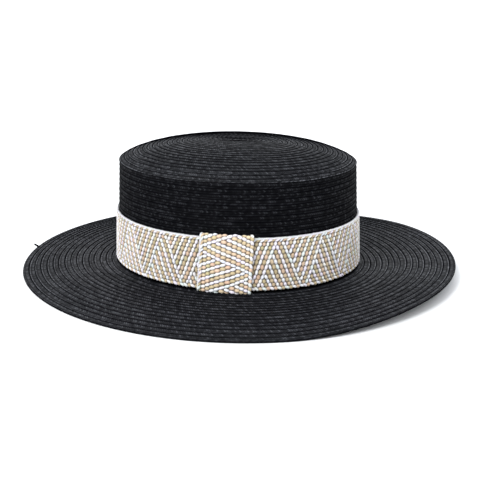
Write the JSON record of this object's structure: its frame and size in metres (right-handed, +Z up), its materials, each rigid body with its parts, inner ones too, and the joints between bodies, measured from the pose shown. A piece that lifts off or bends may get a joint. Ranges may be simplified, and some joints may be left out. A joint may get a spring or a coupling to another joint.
{
  "type": "straw boater hat",
  "caption": "Straw boater with a flat-topped oval crown, a wide flat brim lifted on one side, and a zigzag-woven ribbon band closed by a wrapped tab.",
  "frame": {"origin": "centre of the bounding box at table height, where the brim's flat edge rests", "axes": "+X along the head oval's long axis, towards the lifted side of the brim; +Z up, out of the crown's top; the tab is on the -Y side"},
  "size_m": [0.355, 0.324, 0.1032],
  "materials": {
    "straw": "charcoal-black plaited straw braid sewn in rings, low sheen",
    "ribbon": "matte woven ribbon, white and tan yarns in a zigzag"
  },
  "bodies": {
    "root": {"crown": "straw", "brim": "straw", "hat_band": "ribbon", "band_tab": "ribbon"}
  },
  "joints": []
}
